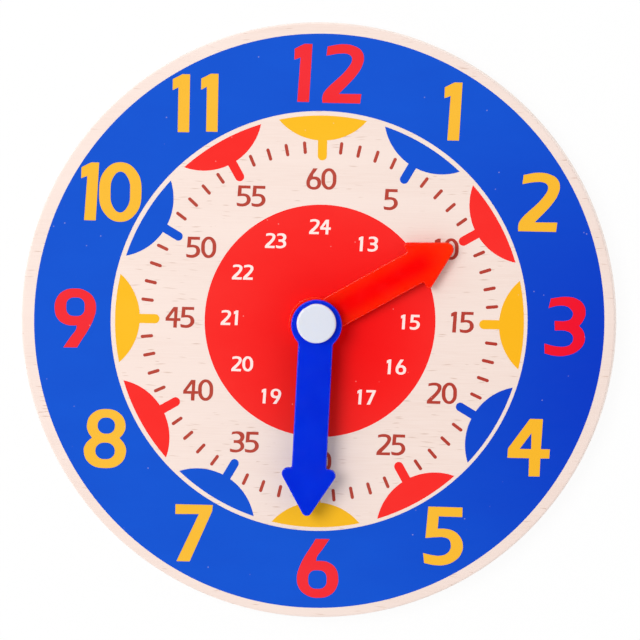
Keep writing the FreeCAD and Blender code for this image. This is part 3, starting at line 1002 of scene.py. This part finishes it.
def shift_head(mesh):
    """Moves the head aside, and leaves the pin where it is."""
    head_foot = top_of("rivet_barrel") * MM
    for vertex in mesh.vertices:
        on_pin = vertex.co.xy.length < (PIN_RADIUS + WELD) * MM and vertex.co.z < head_foot + WELD * MM
        if vertex.co.z > head_foot - WELD * MM and not on_pin:
            vertex.co += Vector((*HEAD_SHIFT, 0)) * MM


cap_mesh = turned("rivet_head", cap_profile(), 128)
cut_flat(cap_mesh)
shift_head(cap_mesh)
shown_object("rivet_head", cap_mesh, "board", WHITE_PLASTIC, "rivet_cap")
SOLIDS = (
    ("rivet_barrel", WHITE_PLASTIC), ("dial_washer", WASHER_PLASTIC), ("hand_washer", WASHER_PLASTIC))
for node, finish in SOLIDS:
    for material_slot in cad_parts[node].material_slots:
        material_slot.material = finish
print("rivet head", round(2 * CAP_RADIUS, 2), "mm across")

# %% [markdown]
# Floor and light
#
# The clock lies on a plain white table in a soft studio. A large lamp stands to the upper left, so
# the hands throw soft shadows to the right. The rest of the light comes from all around, brighter
# near the horizon than overhead: that keeps flat ink deep in colour and still draws a thin bright
# line along every rounded edge. To the camera and to shiny things the table glows towards white,
# but part of it stays plain paint, so the shadow of the board remains. The table has a round opening
# exactly where the flat back of the board covers it, so a view from below shows the back.

# %% Lay the table and hang the lamp
TABLE_RADIUS = 3000.0
TABLE_STEPS = 256
TABLE_WHITE = (0.9, 0.9, 0.9, 1)
TABLE_GLOW = 0.92
opening = BOARD_RADIUS - RIM_ROUND
inner_edge = arc((0, 0), opening, 0, 360, TABLE_STEPS)[:-1]
outer_edge = arc((0, 0), TABLE_RADIUS, 0, 360, TABLE_STEPS)[:-1]
table_points = [(x * MM, y * MM, 0) for x, y, is_smooth in [*inner_edge, *outer_edge]]
table_faces = []
for step in range(TABLE_STEPS):
    after = (step + 1) % TABLE_STEPS
    table_faces.append((step, TABLE_STEPS + step, TABLE_STEPS + after, after))
table_mesh = bpy.data.meshes.new("table")
table_mesh.from_pydata(table_points, [], table_faces)
table = bpy.data.objects.new("table", table_mesh)
bpy.context.scene.collection.objects.link(table)

table_paint, tree, shader = start_finish("table_white")
shader.inputs["Base Color"].default_value = TABLE_WHITE
shader.inputs["Roughness"].default_value = 0.8
path = put(tree, "LightPath")
direct = put(tree, "Math", {
    0: path.outputs["Is Camera Ray"], 1: path.outputs["Is Glossy Ray"]}, operation="MAXIMUM")
seen_by = put(tree, "Math", {
    0: direct.outputs[0], 1: path.outputs["Is Transmission Ray"]}, operation="MAXIMUM")
share = put(tree, "Math", {0: seen_by.outputs[0], 1: TABLE_GLOW}, operation="MULTIPLY")
glow = put(tree, "Emission", {"Color": (1, 1, 1, 1), "Strength": 1.0})
both = put(tree, "MixShader", {0: share.outputs[0], 1: shader.outputs[0], 2: glow.outputs[0]})
tree.links.new(both.outputs[0], tree.nodes["Material Output"].inputs["Surface"])
table_mesh.materials.append(table_paint)

LAMP_AWAY = 2.4
LAMP_SIZE = 1.56
LAMP_POWER = 30.0
LAMP_TILT = 29.0
LAMP_TURN = 157.0
lamp_data = bpy.data.lights.new("key_lamp", "AREA")
lamp_data.shape = "DISK"
lamp_data.size = LAMP_SIZE
lamp_data.energy = LAMP_POWER
lamp = bpy.data.objects.new("key_lamp", lamp_data)
bpy.context.scene.collection.objects.link(lamp)
tilt = math.radians(LAMP_TILT)
side = math.radians(LAMP_TURN)
towards_lamp = Vector((math.sin(tilt) * math.cos(side), math.sin(tilt) * math.sin(side), math.cos(tilt)))
lamp.location = towards_lamp * LAMP_AWAY
lamp.rotation_euler = towards_lamp.to_track_quat("Z", "Y").to_euler()
print("lamp", LAMP_POWER, "W at", LAMP_AWAY, "m")

# %% Light the room
SIDE_LIGHT = 1.0
TOP_LIGHT = 0.04
SIDE_ENDS = 0.65
TOP_STARTS = 0.975

world = bpy.data.worlds.new("studio")
bpy.context.scene.world = world
world.use_nodes = True
sky = world.node_tree
upward = put(sky, "SeparateXYZ", {"Vector": put(sky, "TexCoord").outputs["Generated"]}).outputs["Z"]
level = put(sky, "MapRange", {
    "Value": upward, "From Min": SIDE_ENDS, "From Max": TOP_STARTS,
    "To Min": SIDE_LIGHT, "To Max": TOP_LIGHT},
    interpolation_type="SMOOTHSTEP").outputs["Result"]
background = sky.nodes["Background"]
background.inputs["Color"].default_value = (1.0, 1.0, 1.0, 1)
sky.links.new(level, background.inputs["Strength"])
print("room light from", SIDE_LIGHT, "at the horizon to", TOP_LIGHT, "overhead")

# %% [markdown]
# The camera
#
# The photo was taken from nearly straight above: raised pieces stand a little to the left of and
# below their true place on the dial, so the lens was a few degrees to the right and towards twelve.
# The distance sets how much nearer things grow, and the lens then sets the size in the frame. The
# print also lies a little clockwise in the picture, which is the camera's roll.

# %% Set the camera
FRAME_PIXELS = 640
BOARD_PIXELS = 595.6
CAMERA_AWAY = 3.0
LEAN_RIGHT = 4.3
LEAN_UP = 3.9
ROLL = 1.0
AIM = (0.50, 0.15)

camera_data = bpy.data.cameras.new("camera")
camera = bpy.data.objects.new("camera", camera_data)
bpy.context.scene.collection.objects.link(camera)
bpy.context.scene.camera = camera
span = 2 * BOARD_RADIUS * MM * FRAME_PIXELS / BOARD_PIXELS
camera_data.lens = camera_data.sensor_width * CAMERA_AWAY / span
aim = Vector((AIM[0] * MM, AIM[1] * MM, BOARD_TOP * MM))
away = Vector((math.tan(math.radians(LEAN_RIGHT)), math.tan(math.radians(LEAN_UP)), 1)).normalized()
camera.location = aim + away * CAMERA_AWAY
right = Vector((0, 1, 0)).cross(away).normalized()
up = away.cross(right)
camera.rotation_euler = Matrix((right, up, away)).transposed().to_euler()
camera.rotation_euler.rotate_axis("Z", math.radians(ROLL))
bpy.context.scene.view_settings.view_transform = "Standard"
print(f"lens {camera_data.lens:.0f} mm, {CAMERA_AWAY} m away")
